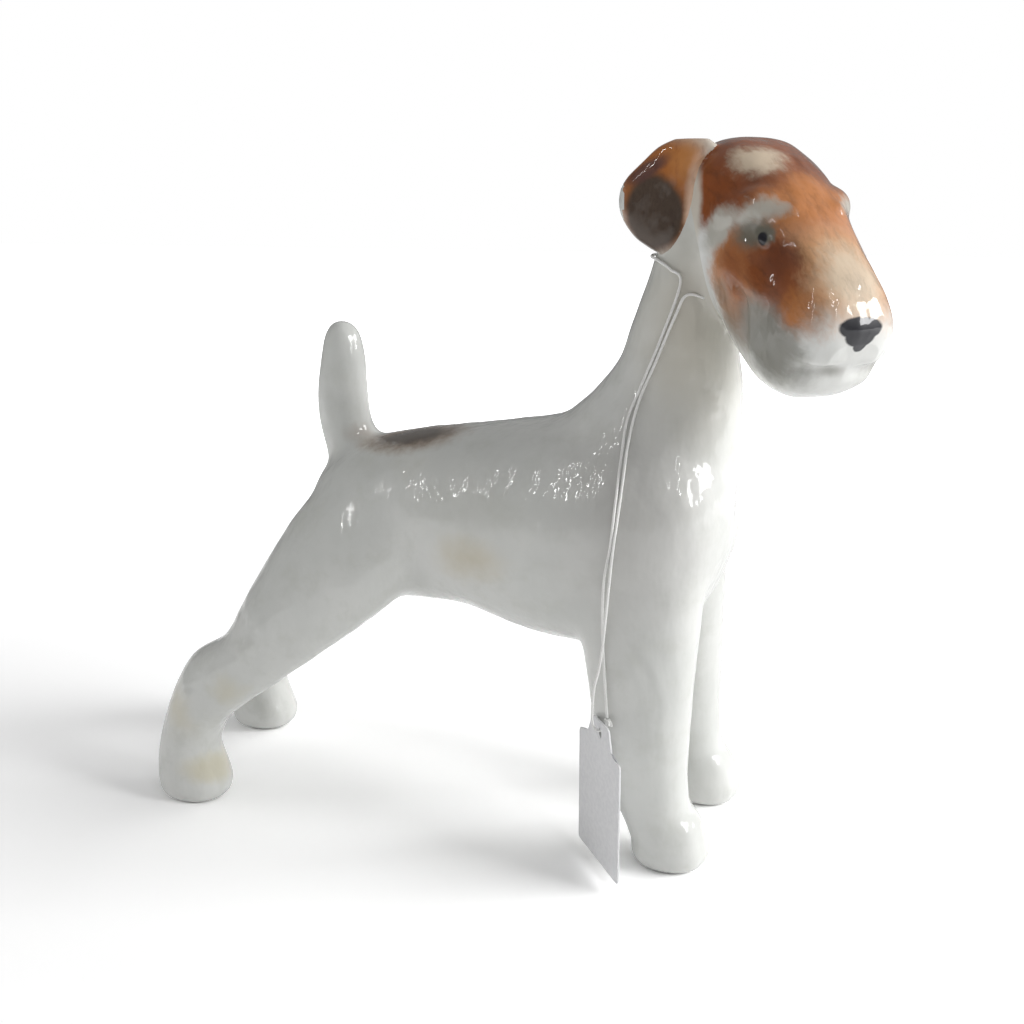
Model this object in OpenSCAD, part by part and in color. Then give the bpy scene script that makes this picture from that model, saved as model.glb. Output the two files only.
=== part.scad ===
// Wire-haired terrier figurine in glazed porcelain, with a strung swing ticket.
// The castings are luted together at flat or saddle faces. +X is the way the dog
// faces, +Z is up, and the origin lies on the floor under the middle of the whole
// figurine. The forms are laid out about the trunk's own middle plane, and placed()
// then brings them over the origin.

/* [Stance] */
// Distance from the hind paws to the fore paws, centre to centre
stance = 160; // [154:1:166]
// Distance between the fore paws, centre to centre
fore_track = 43; // [40:0.5:46]
// Distance between the hind paws, centre to centre
hind_track = 55.5; // [52:0.5:58]
// Height of a paw, up to the pastern
paw_height = 18; // [16:1:21]
// Length of a fore paw
fore_paw_length = 23.5; // [22:0.5:26]
// Length of a hind paw
hind_paw_length = 24.5; // [23:0.5:27]
// Width of a paw
paw_width = 20.5; // [19:0.5:22]

/* [Trunk] */
// Length of the trunk, from buttock to breast
trunk_length = 132; // [126:1:140]
// Height of the loin above the floor
back_height = 122; // [118:1:128]
// Depth of the trunk at the chest
chest_depth = 66; // [62:1:70]
// Width of the trunk at the chest
chest_width = 60; // [56:1:64]
// Thickness of the cast wall
wall = 3; // [2.4:0.1:4]
// Bore of the firing vents
vent_bore = 3.2; // [2.5:0.1:3.8]
// Distance of the belly vent behind the fore paws
vent_back = 58; // [50:1:70]

/* [Legs] */
// Height of the face where each foreleg is luted to the trunk
fore_seam = 55; // [50:1:57]
// Height of the face where each hind leg is luted to the trunk
hind_seam = 60; // [54:1:62]
// Thickness of a foreleg below the elbow, seen from the side
foreleg_depth = 28; // [26:1:31]
// Thickness of a hind leg at the hock, measured along the body
hock_depth = 32; // [29:1:35]

/* [Tail] */
// Height of the docked tail above the loin
tail_rise = 29.3; // [24:0.1:34]
// Thickness of the tail, seen from the side
tail_depth = 16; // [14:0.5:18]
// Thickness of the tail, seen from behind
tail_width = 15.5; // [13:0.5:18]

/* [Neck and head] */
// Height of the middle of the skull above the loin
head_rise = 62; // [58:1:66]
// Distance of the middle of the skull in front of the fore paws
head_reach = 8.5; // [6:0.5:11]
// Length of the head, from the back of the skull to the nose
head_length = 73.5; // [68:0.5:79]
// Width of the skull
skull_width = 34; // [32:0.5:36]
// Depth of the muzzle with its beard
muzzle_depth = 35; // [32:0.5:37]
// Turn of the head towards the dog's right
head_turn = 48; // [42:1:52]
// Dip of the nose below level
head_dip = 31; // [26:1:35]
// Width of the neck under the jaw
neck_width = 31; // [28:0.5:33]

/* [Ears] */
// Drop of an ear flap, from the fold to the tip
ear_drop = 28.3; // [26:0.1:31]
// Width of an ear flap at its widest
ear_width = 22; // [20:0.5:24]
// Thickness of an ear flap
ear_thickness = 6; // [5:0.25:7]
// Angle of an ear flap away from the line of the nose
ear_splay = 130; // [124:1:136]

/* [String and ticket] */
// Diameter of the string
string_dia = 0.8; // [0.6:0.05:0.9]
// Diameter of the knot in the string
knot_dia = 2.2; // [1.8:0.1:2.6]
// Width of the ticket
ticket_width = 28; // [24:0.5:30]
// Height of the ticket
ticket_height = 43; // [36:0.5:44]
// Thickness of the card
card = 0.6; // [0.4:0.1:0.8]
// Width of the ticket above its shoulders
ticket_top_width = 13; // [11:0.5:15]
// Height of the part above the shoulders
ticket_top_height = 6.5; // [5.5:0.5:9]
// Radius of the scalloped shoulders
scallop = 2.6; // [1.5:0.1:3]
// Radius of the bottom corners
ticket_corner = 1.2; // [0.8:0.1:2]
// Bore of the hole that the string runs through
ticket_hole = 3; // [2.8:0.1:3.6]
// Distance of the hole below the top edge of the ticket
hole_inset = 3.6; // [3:0.1:4.5]
// Turn of the ticket away from facing along the dog
ticket_turn = 38; // [34:1:42]

/* [Hidden] */
right = -1;
left = 1;
huge = 400;
round_sides = 32;
cast_sides = 24;
cavity_sides = 18;
string_sides = 8;

// Where the ticket's hole hangs, beside the right foreleg
hole_at = [44.7, -30.4, 42.5];
knot_at = [46.3, -29.6, 45.8];
// The string's route, from the knot up the right side, round the neck under
// the jaw, down again, through the ticket's hole and back to the knot
ROUTE = [
    [46.3, -29.6, 46.9], [45.4, -29.6, 58], [44.4, -29.4, 72],
    [44.6, -29.9, 86], [46.4, -30.6, 97], [47.2, -29.5, 108],
    [47.0, -23.0, 119.5], [47.4, -18.8, 129], [50.5, -16.9, 138],
    [55.0, -15.8, 150], [59.8, -15.2, 165], [57.0, -14.8, 168.5],
    [53.4, -12.3, 170.5], [50.0, -6.0, 171.5], [50.0, 6.0, 171.5],
    [53.0, 12.3, 170.5], [58.5, 15.0, 168], [65.0, 13.8, 164],
    [70.5, 8.6, 160], [72.5, 0.0, 157], [70.5, -8.6, 158],
    [66.0, -13.2, 161.2], [61.6, -15.8, 162], [58.8, -15.8, 156.5],
    [54.5, -16.0, 145.5], [50.2, -17.6, 134], [48.4, -20.6, 124],
    [48.4, -26.4, 114], [47.9, -30.0, 103], [46.9, -30.7, 93],
    [44.6, -30.6, 66], [42.9, -31.4, 56], [42.6, -31.9, 48.5],
    [42.8, -31.7, 45.6], [43.5, -31.3, 43.8], [44.7, -30.4, 43.2],
    [45.7, -29.7, 43.4], [46.2, -29.5, 44.5]];
string_steps = 2;

// The station of the forelegs, which the other places are measured from
fore_paw_x = 66;
// Where the middle of each paw stands from its station
fore_paw_ahead = -2.4;
hind_paw_ahead = 4.2;
// How far each pair of paws stands to the left of the trunk's middle
fore_lean = 2.9;
hind_lean = 1.1;
// How far the left paw of each pair stands ahead of the right one
left_fore_ahead = 2.4;
left_hind_ahead = -7;
// Forward reach of the breast from the fore paws
breast_reach = 9;
// How far below the loin each form starts or ends inside the trunk
neck_root = 26;
tail_root = 24;
foreleg_root = 12;
hindleg_root = 14;
// The neck ends inside the skull, this far above its middle
nape_rise = 7;
// The tail stands this far in front of the buttock, on a face this far below the loin
tail_inset = 15;
tail_seam_drop = 7.5;
tail_seam_tilt = 21;
// The turned head reaches out ahead and to the right of the paws, so the middle of
// the whole is not the middle of the trunk
to_middle = [-2.1, 1.9, 0];
hind_paw_x = fore_paw_x - stance;
breast_x = fore_paw_x + breast_reach;
buttock_x = breast_x - trunk_length;
shoulder_z = back_height - foreleg_root;
hip_z = back_height - hindleg_root;
skull_at = [fore_paw_x + head_reach, -1, back_height + head_rise];
neck_foot_z = back_height - neck_root;
neck_top_z = skull_at.z + nape_rise;
tail_x = buttock_x + tail_inset;
tail_foot_z = back_height - tail_root;
tail_tip_z = back_height + tail_rise;

module placed() {
    translate(to_middle) children();
}

// ---- Lofts ---------------------------------------------------------------
// A loft runs through rings of points. Rows between the given ones come from
// a Catmull-Rom curve, so every form is smooth from few stations.
function blend(p0, p1, p2, p3, t) = (2 * p1 + (p2 - p0) * t
    + (2 * p0 - 5 * p1 + 4 * p2 - p3) * t * t
    + (3 * p1 - p0 - 3 * p2 + p3) * t * t * t) / 2;
function smooth(rows, steps) = [
    for (i = [0 : len(rows) - 2], k = [0 : steps - 1])
        blend(rows[max(i - 1, 0)], rows[i], rows[i + 1],
            rows[min(i + 2, len(rows) - 1)], k / steps),
    rows[len(rows) - 1]];
function power(v, exponent) = sign(v) * pow(abs(v), exponent);
// One point of a rounded-square outline with half sizes a and b
function outline(a, b, squareness, angle) = [
    a * power(cos(angle), 2 / squareness),
    b * power(sin(angle), 2 / squareness)];

module skin(rings) {
    sides = len(rings[0]);
    last = (len(rings) - 1) * sides;
    polyhedron(
        points = [for (ring = rings) each ring],
        faces = concat(
            [[for (j = [0 : sides - 1]) j]],
            [[for (j = [sides - 1 : -1 : 0]) last + j]],
            [for (i = [0 : sides : last - sides], j = [0 : sides - 1])
                [i + j, i + sides + j, i + (j + 1) % sides]],
            [for (i = [0 : sides : last - sides], j = [0 : sides - 1])
                [i + (j + 1) % sides, i + sides + j,
                    i + sides + (j + 1) % sides]]),
        convexity = 8);
}

// Rows of a standing form: [z, back x, front x, half width, middle y]
module standing_form(rows, squareness = 2.2, sides = cast_sides, steps = 2) {
    skin([for (row = smooth(rows, steps))
        [for (j = [0 : sides - 1])
            let (p = outline((row[2] - row[1]) / 2, row[3],
                squareness, 360 * j / sides))
            [(row[1] + row[2]) / 2 + p.x, row[4] + p.y, row[0]]]]);
}

// Rows of a lying form: [x, low z, high z, half width]
module lying_form(rows, squareness = 2.2, sides = cast_sides, steps = 2) {
    skin([for (row = smooth(rows, steps))
        [for (j = [0 : sides - 1])
            let (p = outline(row[3], (row[2] - row[1]) / 2,
                squareness, 360 * j / sides))
            [row[0], p.x, (row[1] + row[2]) / 2 + p.y]]]);
}

module below(height) {
    translate([-huge / 2, -huge / 2, height - huge]) cube(huge);
}

// ---- Trunk and neck ------------------------------------------------------
// Stations from buttock to breast: [share of length, top above the loin,
// belly as a share of the chest depth, half width as a share of the chest's]
TRUNK = [
    [0.00, -26, -0.52, 0.14], [0.03, -19, -0.64, 0.41],
    [0.08, -11, -0.76, 0.67], [0.17, -5.8, -0.82, 0.82],
    [0.29, -2.4, -0.823, 0.84], [0.41, -0.2, -0.832, 0.86],
    [0.54, 2.5, -0.905, 0.92], [0.66, 5, -0.94, 0.98],
    [0.78, 7, -0.92, 1.00], [0.89, 5, -0.84, 0.93],
    [0.96, -1, -0.67, 0.72], [1.00, -11, -0.46, 0.34]];
function trunk_rows(inset) = [for (s = TRUNK)
    let (x = buttock_x + s[0] * trunk_length)
    [buttock_x + inset + s[0] * (trunk_length - 2 * inset),
        back_height + s[2] * chest_depth + inset,
        back_height + s[1] - inset,
        max(s[3] * chest_width / 2 - inset, 1)]];

// Stations from the trunk to the skull: [share of height, back and front of
// the neck from the fore paws, half width as a share of the neck's]
NECK = [
    [0.00, -34, 7, 1.30], [0.14, -42, 9, 1.42], [0.25, -43.5, 9.5, 1.35],
    [0.34, -38.5, 9.5, 1.20], [0.42, -30.8, 9, 1.08], [0.51, -24.6, 7.5, 1.02],
    [0.62, -21, 6, 0.97], [0.72, -17.6, 5, 0.94], [0.84, -13.9, 5, 0.88],
    [0.92, -10.2, 5, 0.80], [0.97, -6, 4, 0.62], [1.00, -1, 3, 0.25]];
function neck_rows(inset) = [for (s = NECK)
    let (shift = head_reach - 8.5)
    [neck_foot_z + s[0] * (neck_top_z - inset - neck_foot_z),
        fore_paw_x + s[1] + inset + s[0] * shift,
        fore_paw_x + s[2] - inset + s[0] * shift,
        max(s[3] * neck_width / 2 - inset, 1), 0]];

// ---- Legs ----------------------------------------------------------------
// A paw as shares of its height, length and width:
// [height, back, front, half width]
PAW = [
    [0.00, -0.36, 0.31, 0.34], [0.06, -0.44, 0.385, 0.43],
    [0.16, -0.485, 0.44, 0.48], [0.28, -0.50, 0.46, 0.495],
    [0.42, -0.51, 0.445, 0.50]];
// Foreleg above the paw: [share of height, back, front, half width, inset]
FORELEG = [
    [-0.05, -0.60, 0.22, 10, 0], [0.00, -0.68, 0.09, 10, 0],
    [0.09, -0.79, 0.06, 10, 0.1], [0.19, -0.87, 0.055, 10.2, 0.2],
    [0.35, -0.98, 0.075, 11, 0.8], [0.51, -1.07, 0.10, 11.8, 2],
    [0.67, -1.12, 0.13, 12.5, 4.2], [0.84, -1.15, 0.17, 12.5, 6.8],
    [1.00, -1.15, 0.18, 11, 10]];
// Hind leg above the paw, in the same terms, with its back and front from
// the paw: the leg leans forward into the thigh
HINDLEG = [
    [-0.05, -8.2, 13, 10, 0], [0.00, -7.2, 11.6, 9.6, 0], [0.09, -5.2, 15.2, 9.6, 0.5],
    [0.16, -3.1, 22, 10, 1], [0.24, -0.3, 32, 10.2, 1.8], [0.31, 3.2, 40, 10.6, 2.7],
    [0.35, 6.6, 45.2, 10.8, 3.2], [0.40, 14.6, 51, 11.2, 3.9], [0.44, 18.2, 56, 11.6, 4.5],
    [0.54, 22.4, 67.4, 12.6, 6.5], [0.64, 27.6, 76.4, 13.2, 8.3], [0.76, 33.7, 81.6, 13, 10.8],
    [0.88, 41, 82, 12, 14.3], [1.00, 52, 76, 9, 17.7]];
function paw_rows(x, length, y) = [for (s = PAW)
    [s[0] * paw_height, x + s[1] * length, x + s[2] * length,
        s[3] * paw_width, y]];
// The lean to the left, and the left leg's place ahead, fade out up the leg
function foreleg_rows(side) =
    let (ahead = side == left ? left_fore_ahead : 0)
    concat(
        paw_rows(fore_paw_x + fore_paw_ahead + ahead, fore_paw_length,
            side * fore_track / 2 + fore_lean),
        [for (s = FORELEG)
            let (x = fore_paw_x + (1 - s[0]) * ahead)
            [paw_height + s[0] * (shoulder_z - paw_height),
                x + s[1] * foreleg_depth, x + s[2] * foreleg_depth, s[3],
                side * (fore_track / 2 - s[4]) + (1 - s[0]) * fore_lean]]);
function hindleg_rows(side) =
    let (ahead = side == left ? left_hind_ahead : 0)
    concat(
        paw_rows(hind_paw_x + hind_paw_ahead + ahead, hind_paw_length,
            side * hind_track / 2 + hind_lean),
        [for (s = HINDLEG)
            let (spread = (hock_depth - 32) / 2 * (1 - s[0]),
                x = hind_paw_x + (1 - s[0]) * ahead + (stance - 160) * s[0])
            [paw_height + s[0] * (hip_z - paw_height),
                x + s[1] - spread, x + s[2] + spread, s[3],
                side * (hind_track / 2 - s[4]) + (1 - s[0]) * hind_lean]]);

module foreleg_form(side) standing_form(foreleg_rows(side));
module hindleg_form(side) standing_form(hindleg_rows(side));
// The upper rows of a leg, which are cast with the trunk
function from_row(rows, first) = [for (i = [first : len(rows) - 1]) rows[i]];
module shoulder_form(side) standing_form(from_row(foreleg_rows(side), 7));
module thigh_form(side) standing_form(from_row(hindleg_rows(side), 11));
module trunk_form() lying_form(trunk_rows(0));
module neck_form() standing_form(neck_rows(0));

// ---- Head ----------------------------------------------------------------
// Stations from the back of the skull to the nose, along the line of the
// nose: [share of length, low, high, half width], the low side and the half
// width as shares of the muzzle's depth and the skull's width
HEAD = [
    [0.00, -0.06, 8, 0.24], [0.05, -0.20, 13.2, 0.38],
    [0.15, -0.34, 17.1, 0.47], [0.30, -0.47, 18.2, 0.50],
    [0.45, -0.62, 17.5, 0.485], [0.56, -0.735, 15.7, 0.455],
    [0.67, -0.775, 13.2, 0.43], [0.78, -0.765, 11, 0.43],
    [0.88, -0.69, 8.6, 0.41], [0.96, -0.535, 4.8, 0.35], [1.00, -0.31, -1, 0.2]];
skull_back = 16;
function head_rows(inset) = [for (s = HEAD)
    [inset - skull_back + s[0] * (head_length - 2 * inset),
        s[1] * muzzle_depth + inset, s[2] - inset,
        max(s[3] * skull_width - inset, 1)]];
module at_head() {
    translate(skull_at) rotate([0, head_dip, -head_turn]) children();
}
module head_form() at_head() lying_form(head_rows(0), squareness = 2.6);

// ---- Ears ----------------------------------------------------------------
// Stations from the tip to the fold: [share of the drop, inner edge and
// outer edge as shares of the width, half thickness as a share]
EAR = [
    [0.00, 0.30, 0.50, 0.22], [0.04, 0.18, 0.60, 0.36],
    [0.14, 0.07, 0.77, 0.46], [0.32, 0.03, 0.93, 0.50],
    [0.50, 0.02, 0.965, 0.50], [0.66, 0.00, 0.87, 0.50],
    [0.82, -0.06, 0.665, 0.46], [0.94, -0.16, 0.49, 0.40],
    [1.00, -0.08, 0.31, 0.24]];
ear_out = 14.5;
ear_top = 17.2;
// The left ear is set a little lower than the right one
left_ear_drop = 3.5;
function ear_rows() = [for (s = EAR)
    [ear_top - ear_drop + s[0] * ear_drop, s[1] * ear_width,
        s[2] * ear_width, s[3] * ear_thickness, 0]];
module ear_form(side) {
    translate(skull_at) rotate(-head_turn) mirror([0, side == left ? 0 : 1, 0])
        translate([-1, ear_out, side == left ? -left_ear_drop : 0])
        rotate(ear_splay)
        standing_form(ear_rows(), squareness = 2.4, sides = 20);
}

// ---- Tail ----------------------------------------------------------------
// Stations from the rump to the tip: [share of height, lean, depth, width]
TAIL = [
    [0.00, 2, 1.10, 0.50], [0.18, 0, 1.06, 0.53], [0.33, -2.4, 1.03, 0.53],
    [0.46, -4.1, 1.00, 0.50], [0.60, -4.5, 0.97, 0.47],
    [0.75, -4.0, 0.88, 0.44], [0.90, -3.8, 0.72, 0.36],
    [0.97, -3.9, 0.48, 0.25], [1.00, -4.1, 0.22, 0.12]];
function tail_rows() = [for (s = TAIL)
    [tail_foot_z + s[0] * (tail_tip_z - tail_foot_z),
        tail_x + s[1] - s[2] * tail_depth / 2,
        tail_x + s[1] + s[2] * tail_depth / 2, s[3] * tail_width, 0]];
module tail_form() standing_form(tail_rows());
// The room below the face where the tail is luted on
module below_tail_seam() {
    translate([tail_x, 0, back_height - tail_seam_drop]) rotate([0, -tail_seam_tilt, 0])
        below(0);
}

// ---- Castings ------------------------------------------------------------
module cavity() {
    lying_form(trunk_rows(wall), sides = cavity_sides);
    standing_form(neck_rows(wall), sides = cavity_sides);
}

module torso() {
    color("gainsboro") placed() difference() {
        union() {
            trunk_form();
            neck_form();
            intersection() {
                tail_form();
                below_tail_seam();
            }
            for (side = [right, left]) {
                difference() {
                    shoulder_form(side);
                    below(fore_seam);
                }
                difference() {
                    thigh_form(side);
                    below(hind_seam);
                }
            }
        }
        difference() {
            cavity();
            translate([0, 0, -wall]) head_form();
        }
        head_form();
        head_vent();
        translate([fore_paw_x - vent_back, 0, 0])
            cylinder(h = back_height - 4 * wall, d = vent_bore, $fn = round_sides);
    }
}

// The pinhole that lets the air out of the head while it is luted on
module head_vent() {
    translate(skull_at - [2 * vent_bore, 0, head_rise / 2])
        cylinder(h = head_rise / 2, d = vent_bore, $fn = round_sides);
}

module head() {
    color("peru") placed() difference() {
        head_form();
        at_head() lying_form(head_rows(wall), squareness = 2.6,
            sides = cavity_sides);
        head_vent();
    }
}

module ear(side) {
    color("sienna") placed() difference() {
        ear_form(side);
        head_form();
        neck_form();
    }
}
module ear_right() ear(right);
module ear_left() ear(left);

module tail() {
    color("whitesmoke") placed() difference() {
        tail_form();
        below_tail_seam();
        trunk_form();
    }
}

module foreleg(side) {
    color("white") placed() intersection() {
        foreleg_form(side);
        below(fore_seam);
    }
}
module foreleg_right() foreleg(right);
module foreleg_left() foreleg(left);

module hindleg(side) {
    color("whitesmoke") placed() intersection() {
        hindleg_form(side);
        below(hind_seam);
    }
}
module hindleg_right() hindleg(right);
module hindleg_left() hindleg(left);

// ---- String, knot and ticket ----------------------------------------------
function unit(v) = v / norm(v);
function heading(path, i) =
    unit(path[min(i + 1, len(path) - 1)] - path[max(i - 1, 0)]);
// Rings round the path from its point i on, each turned as little as it can
// be from the side that the last one faced
function string_rings(path, i, side) = i == len(path) ? [] :
    let (ahead = heading(path, i),
        out = unit(side - (side * ahead) * ahead),
        across = cross(ahead, out))
    concat([[for (j = [0 : string_sides - 1])
        let (angle = 360 * j / string_sides)
        path[i] + string_dia / 2 * (cos(angle) * out + sin(angle) * across)]],
        string_rings(path, i + 1, out));

module ticket_string() {
    color("ivory") placed() skin(string_rings(smooth(ROUTE, string_steps), 0, [1, 0, 0]));
}

module string_knot() {
    color("ivory") placed() translate(knot_at) sphere(d = knot_dia, $fn = round_sides);
}

// A block with its middle at x = 0 and its top edge at y = 0
module rounded_block(width, height, radius) {
    translate([-width / 2, radius - height]) square([width, height - 2 * radius]);
    translate([radius - width / 2, -height]) square([width - 2 * radius, height]);
    for (x = [radius - width / 2, width / 2 - radius], y = [-radius, radius - height])
        translate([x, y]) circle(radius, $fn = round_sides);
}

module swing_ticket() {
    shoulder = ticket_height - ticket_top_height;
    color("lightgray") placed() translate(hole_at) rotate(ticket_turn)
        rotate([90, 0, 90]) translate([0, 0, -card / 2]) difference() {
            linear_extrude(card) translate([0, hole_inset]) {
                rounded_block(ticket_top_width, ticket_top_height * 2, scallop);
                translate([0, -ticket_top_height])
                    rounded_block(ticket_width, shoulder, ticket_corner);
            }
            translate([0, 0, -card])
                cylinder(h = 3 * card, d = ticket_hole, $fn = round_sides);
        }
}

torso();
head();
ear_right();
ear_left();
tail();
foreleg_right();
foreleg_left();
hindleg_right();
hindleg_left();
ticket_string();
string_knot();
swing_ticket();
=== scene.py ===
"""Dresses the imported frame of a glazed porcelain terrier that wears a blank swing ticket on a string."""
import math
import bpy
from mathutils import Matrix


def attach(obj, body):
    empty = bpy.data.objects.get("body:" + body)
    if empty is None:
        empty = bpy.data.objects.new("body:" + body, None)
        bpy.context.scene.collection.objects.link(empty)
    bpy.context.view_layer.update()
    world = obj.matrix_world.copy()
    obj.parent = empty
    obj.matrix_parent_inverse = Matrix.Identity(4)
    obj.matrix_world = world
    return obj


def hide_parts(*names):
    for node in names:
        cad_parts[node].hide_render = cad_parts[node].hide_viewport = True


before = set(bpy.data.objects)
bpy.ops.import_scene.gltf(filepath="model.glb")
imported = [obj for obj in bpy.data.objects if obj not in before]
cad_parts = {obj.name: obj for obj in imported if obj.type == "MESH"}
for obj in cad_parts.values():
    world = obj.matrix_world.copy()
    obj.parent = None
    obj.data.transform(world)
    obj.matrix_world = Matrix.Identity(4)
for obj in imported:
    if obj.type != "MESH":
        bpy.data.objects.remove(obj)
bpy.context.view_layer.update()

from types import SimpleNamespace

import bpy
import numpy as np
import openvdb as vdb
from mathutils import Euler, Matrix, Vector

MM = 0.001

# ---- Camera ----
CAMERA_AT = (0.1186, -0.3276, 0.1860)
CAMERA_TURN = math.radians(18.83)
CAMERA_DIP = math.radians(14.57)
CAMERA_LENS = 42.19


def placed(name, data, at=(0, 0, 0), turn=(0, 0, 0)):
    """A new object of the scene."""
    made = bpy.data.objects.new(name, data)
    made.location = at
    made.rotation_euler = turn
    bpy.context.scene.collection.objects.link(made)
    return made


def make_camera():
    camera = bpy.data.cameras.new("camera")
    camera.lens = CAMERA_LENS
    camera.sensor_width = 36.0
    turn = (math.pi / 2 - CAMERA_DIP, 0.0, CAMERA_TURN)
    bpy.context.scene.camera = placed("camera", camera, CAMERA_AT, turn)


make_camera()

# ---- Small helpers ----
# The forms are laid out in millimetres about the trunk's own middle plane, and
# MIDDLE brings them over the frame's origin
MIDDLE = np.array([-2.1, 1.9, 0.0])
TURN = 2 * math.pi
RIGHT, LEFT = -1, 1


def smooth(rows, steps):
    """Rows of numbers with Catmull-Rom rows between them."""
    rows = np.asarray(rows, float)
    rows = np.vstack([rows[:1], rows, rows[-1:]])
    out = []
    for p0, p1, p2, p3 in zip(rows, rows[1:], rows[2:], rows[3:]):
        for t in np.arange(steps) / steps:
            out.append((2 * p1 + (p2 - p0) * t + (2 * p0 - 5 * p1 + 4 * p2 - p3) * t ** 2
                        + (3 * p1 - p0 - 3 * p2 + p3) * t ** 3) / 2)
    out.append(rows[-1])
    return np.array(out)


def step(x, low, high):
    """0 below low, 1 above high, and an easy curve between."""
    t = np.clip((x - low) / (high - low), 0, 1)
    return t * t * (3 - 2 * t)


def band_faces(start, rings, sides):
    """Quads between that many rings of points, whose first point has the number start."""
    faces = []
    for low in range(start, start + (rings - 1) * sides, sides):
        for j in range(sides):
            k = (j + 1) % sides
            faces.append((low + j, low + k, low + sides + k, low + sides + j))
    return faces


def tube_faces(rings, sides):
    """Quads and end caps of a tube with that many rings."""
    caps = [tuple(reversed(range(sides))), tuple(range((rings - 1) * sides, rings * sides))]
    return band_faces(0, rings, sides) + caps


def slope(value, points, reach):
    """The gradient, at those points, of what the function gives, measured over that reach."""
    return np.stack([(value(points + shift) - value(points - shift)) / (2 * reach)
                     for shift in np.eye(3) * reach], 1)


def new_object(name, points_mm, faces, material, shade_smooth=True):
    mesh = bpy.data.meshes.new(name)
    mesh.from_pydata((np.asarray(points_mm) * MM).tolist(), [], faces)
    mesh.materials.append(material)
    if shade_smooth:
        mesh.shade_smooth()
    mesh.validate()
    return placed(name, mesh)


# ---- Node helpers ----
class Nodes:
    """A node tree, with short calls for the nodes used here. Any value may be a socket to link."""

    def __init__(self, owner, shader):
        owner.use_nodes = True
        self.owner = owner
        self.tree = owner.node_tree
        self.shader = self.tree.nodes[shader]

    def put(self, node, values):
        for key, value in values.items():
            socket = node.inputs[key]
            if isinstance(value, bpy.types.NodeSocket):
                self.tree.links.new(value, socket)
            elif socket.type == "RGBA":
                socket.default_value = (*value, 1.0)
            else:
                socket.default_value = value

    def shade(self, **values):
        """Sets the shader's sockets; an underscore stands for a blank in a socket's name."""
        self.put(self.shader, {key.replace("_", " "): value for key, value in values.items()})

    def add(self, kind, values, **settings):
        node = self.tree.nodes.new("ShaderNode" + kind)
        for key, setting in settings.items():
            setattr(node, key, setting)
        self.put(node, values)
        return node

    def place(self):
        return self.add("TexCoord", {}).outputs["Object"]

    def seen(self):
        """1 where the camera itself looks, and 0 for every other ray."""
        return self.add("LightPath", {}).outputs["Is Camera Ray"]

    def math(self, operation, *values):
        return self.add("Math", dict(enumerate(values)), operation=operation).outputs[0]

    def vector(self, operation, *values):
        """A vector operation; a length or a dot product comes out as a number."""
        node = self.add("VectorMath", dict(enumerate(values)), operation=operation)
        return node.outputs["Value" if operation in ("LENGTH", "DOT_PRODUCT") else "Vector"]

    def into(self, place, at, turn, size):
        """Coordinates in the space of a box at that place, with that turn and size."""
        values = {"Vector": place, "Location": at, "Rotation": turn, "Scale": size}
        return self.add("Mapping", values, vector_type="TEXTURE").outputs[0]

    def stretch(self, place, scale):
        return self.add("Mapping", {"Vector": place, "Scale": scale}, vector_type="POINT").outputs[0]

    def noise(self, place, scale, detail, rough, colour=False):
        values = {"Vector": place, "Scale": scale, "Detail": detail, "Roughness": rough}
        return self.add("TexNoise", values).outputs["Color" if colour else "Fac"]

    def ramp(self, value, low, high, to_low=0.0, to_high=1.0, ease="SMOOTHSTEP"):
        values = {"Value": value, "From Min": low, "From Max": high, "To Min": to_low, "To Max": to_high}
        return self.add("MapRange", values, interpolation_type=ease).outputs["Result"]

    def mix(self, amount, a, b, blend="MIX"):
        # The node's sockets 6 and 7 take its two colours, and 2 gives their mixture
        values = {0: amount, 6: a, 7: b}
        return self.add("Mix", values, data_type="RGBA", blend_type=blend).outputs[2]

    def bump(self, height, distance, strength=1.0):
        values = {"Height": height, "Distance": distance, "Strength": strength}
        return self.add("Bump", values).outputs["Normal"]


def new_material(name):
    return Nodes(bpy.data.materials.new(name), "Principled BSDF")


# ---- String and knot ----
STRING_DIA = 0.8
STRING_STEP = 0.33
KNOT_AT = np.array([46.3, -29.6, 45.8])
# The string's route, from the knot up the right side, round the neck under the
# jaw, down again, through the ticket's hole and back to the knot
ROUTE = [
    [46.3, -29.6, 46.9], [45.4, -29.6, 58], [44.4, -29.4, 72],
    [44.6, -29.9, 86], [46.4, -30.6, 97], [47.2, -29.5, 108],
    [47, -23, 119.5], [47.4, -18.8, 129], [50.5, -16.9, 138],
    [55, -15.8, 150], [59.8, -15.2, 165], [57, -14.8, 168.5],
    [53.4, -12.3, 170.5], [50, -6, 171.5], [50, 6, 171.5],
    [53, 12.3, 170.5], [58.5, 15, 168], [65, 13.8, 164],
    [70.5, 8.6, 160], [72.5, 0, 157], [70.5, -8.6, 158],
    [66, -13.2, 161.2], [61.6, -15.8, 162], [58.8, -15.8, 156.5],
    [54.5, -16, 145.5], [50.2, -17.6, 134], [48.4, -20.6, 124],
    [48.4, -26.4, 114], [47.9, -30, 103], [46.9, -30.7, 93],
    [44.6, -30.6, 66], [42.9, -31.4, 56], [42.6, -31.9, 48.5],
    [42.8, -31.7, 45.6], [43.5, -31.3, 43.8], [44.7, -30.4, 43.2],
    [45.7, -29.7, 43.4], [46.2, -29.5, 44.5]]
TWIST_PITCH = 2.6
PLIES = 3
PLY_DEPTH = 0.16
KNOT_SIZE = 0.62
KNOT_SQUEEZE = 0.62


def run_along(points):
    """How far along the path each of its points is."""
    return np.r_[0, np.cumsum(np.linalg.norm(np.diff(points, axis=0), axis=1))]


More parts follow.
